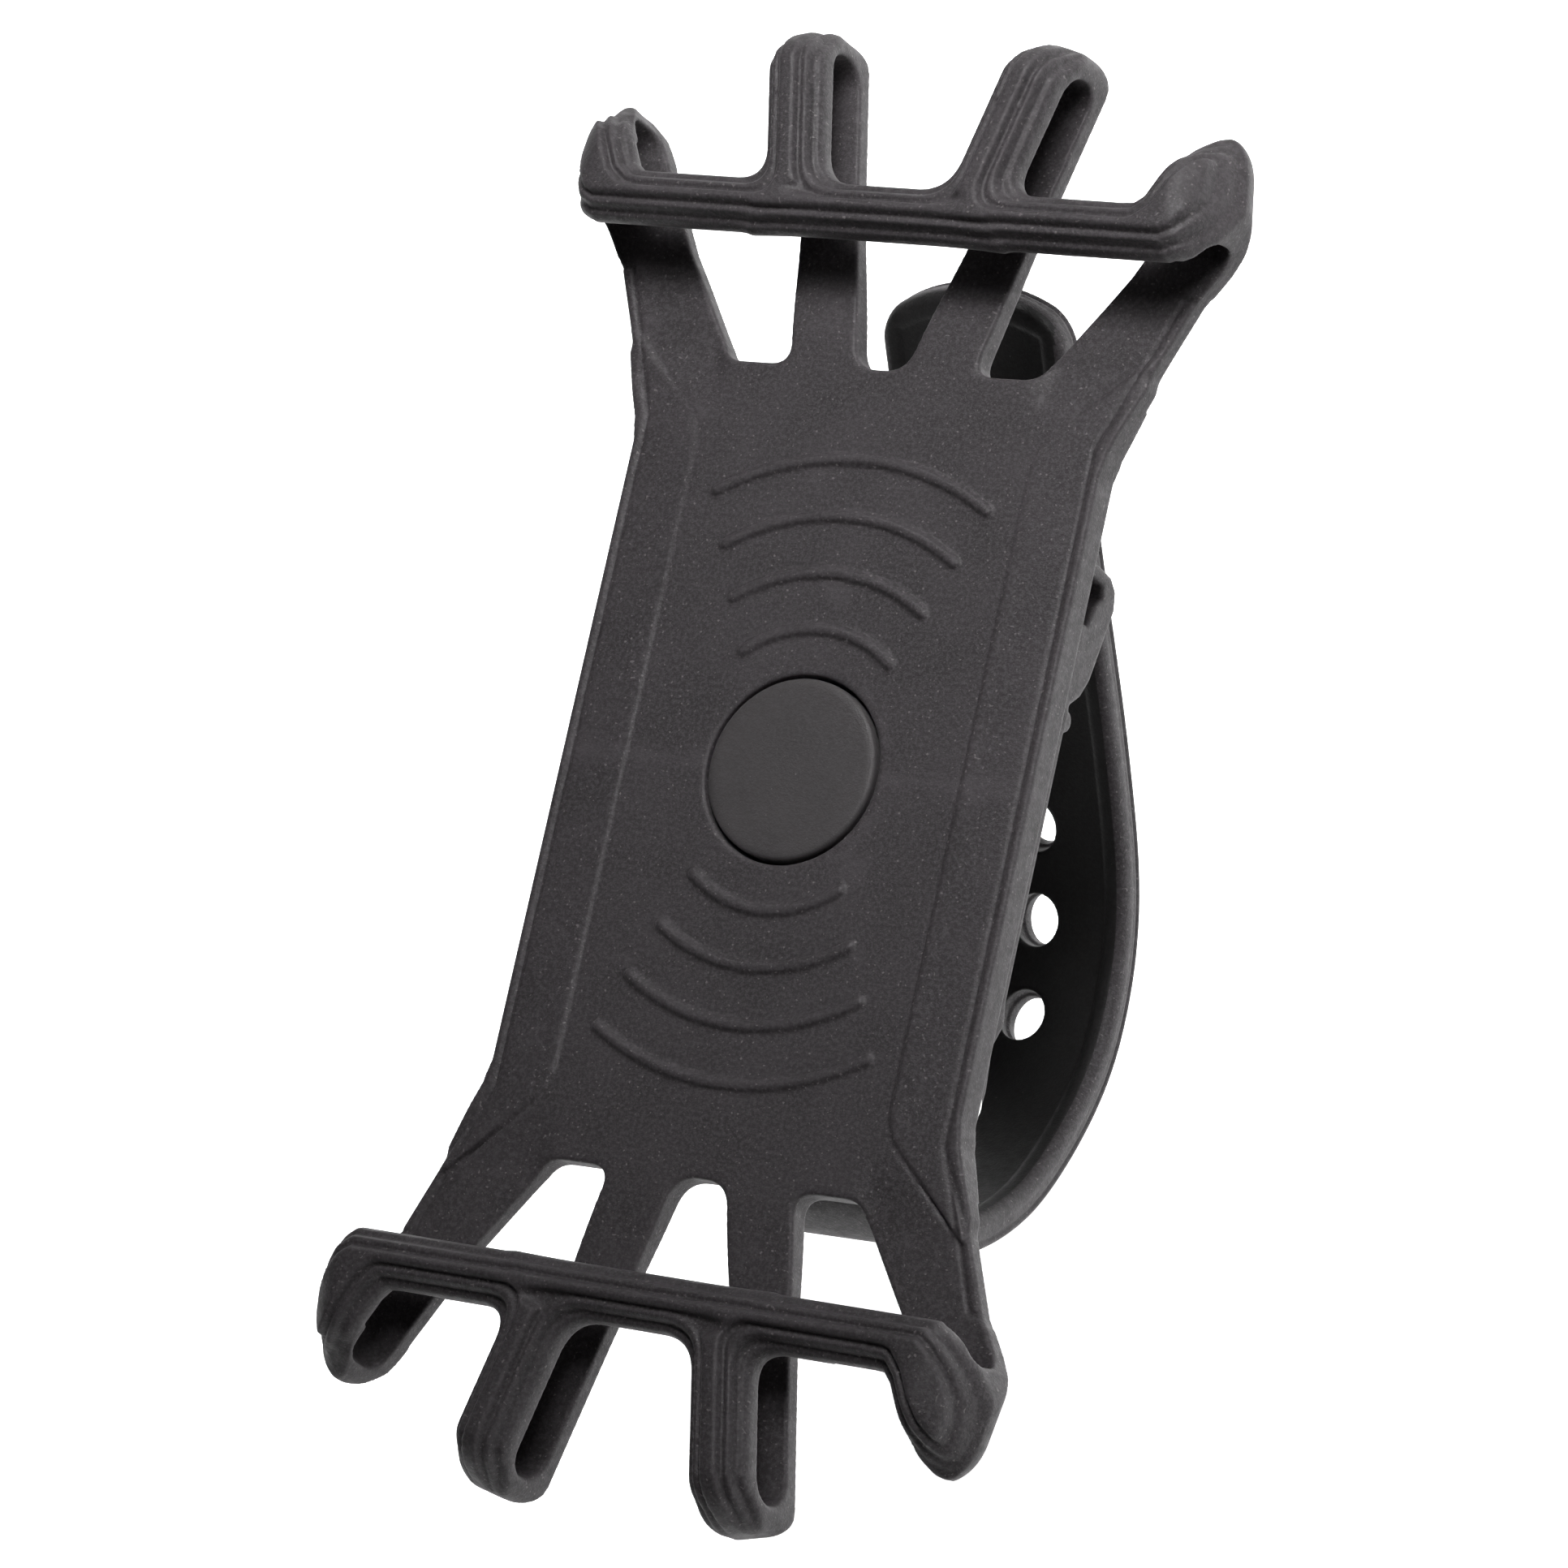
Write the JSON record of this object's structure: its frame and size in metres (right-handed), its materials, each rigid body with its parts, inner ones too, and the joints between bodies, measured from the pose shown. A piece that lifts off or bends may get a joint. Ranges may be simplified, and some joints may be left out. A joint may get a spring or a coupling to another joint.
{
  "type": "phone handlebar mount",
  "caption": "Moulded silicone phone cradle with looped corner fingers on a swivel hub, strapped round a handlebar by a perforated band.",
  "frame": {"origin": "on the axis of the handlebar that the mount is strapped to, straight below the swivel hub", "axes": "+X across the phone and along the handlebar, +Y along the phone towards the tongue end of the strap, +Z out of the phone face"},
  "size_m": [0.0776, 0.1492, 0.0668],
  "materials": {
    "silicone": "matte black moulded silicone with a fine mottled grain and pale dust specks",
    "button_silicone": "slightly lighter, smoother matte silicone",
    "black_plastic": "fine spark-eroded matte black plastic",
    "acetal": "natural satin bearing plastic",
    "steel": "zinc-plated steel"
  },
  "bodies": {
    "base": {"base_saddle": "silicone", "bar_pad": "silicone", "swivel_housing": "black_plastic", "index_ring": "acetal", "retaining_ring": "acetal", "thrust_washer": "acetal", "housing_screw_1": "steel", "housing_screw_2": "steel", "housing_screw_3": "steel", "strap_root": "silicone", "strap_anchor_pin": "steel", "strap_hook": "black_plastic"},
    "cradle": {"cradle_plate": "silicone", "stiffener_plate": "black_plastic", "rotor_hub": "black_plastic", "rotor_screw_1": "steel", "rotor_screw_2": "steel", "rotor_screw_3": "steel", "rotor_screw_4": "steel", "button_spring": "steel"},
    "button": {"release_button": "button_silicone", "button_stem": "black_plastic", "lock_disc": "black_plastic"},
    "upper_grip": {"upper_crossbar": "silicone", "upper_left_inner_finger": "silicone", "upper_right_inner_finger": "silicone", "upper_left_outer_finger": "silicone", "upper_right_outer_finger": "silicone"},
    "lower_grip": {"lower_crossbar": "silicone", "lower_left_inner_finger": "silicone", "lower_right_inner_finger": "silicone", "lower_left_outer_finger": "silicone", "lower_right_outer_finger": "silicone"},
    "strap": {"strap_band": "silicone"}
  },
  "joints": [
    {"name": "cradle_spin", "type": "hinge", "parent": "base", "child": "cradle", "pos_m": [0, 0, 0.03], "axis": [0, 0, 1], "continuous": true},
    {"name": "button_press", "type": "slide", "parent": "cradle", "child": "button", "axis": [0, 0, -1], "range_m": [0, 0.002], "stiffness_N_per_m": 600, "springref_m": -0.001, "deforming": ["button_spring"]},
    {"name": "upper_grip_flex", "type": "hinge", "parent": "cradle", "child": "upper_grip", "pos_m": [0, 0.04135, 0.037], "axis": [-1, 0, 0], "range_deg": [0, 25], "stiffness_Nm_per_rad": 0.4},
    {"name": "lower_grip_flex", "type": "hinge", "parent": "cradle", "child": "lower_grip", "pos_m": [0, -0.04135, 0.037], "axis": [1, 0, 0], "range_deg": [0, 25], "stiffness_Nm_per_rad": 0.4},
    {"name": "strap_open", "type": "hinge", "parent": "base", "child": "strap", "pos_m": [0, -0.01745, -0.01622], "axis": [-1, 0, 0], "range_deg": [0, 70], "stiffness_Nm_per_rad": 0.3}
  ]
}
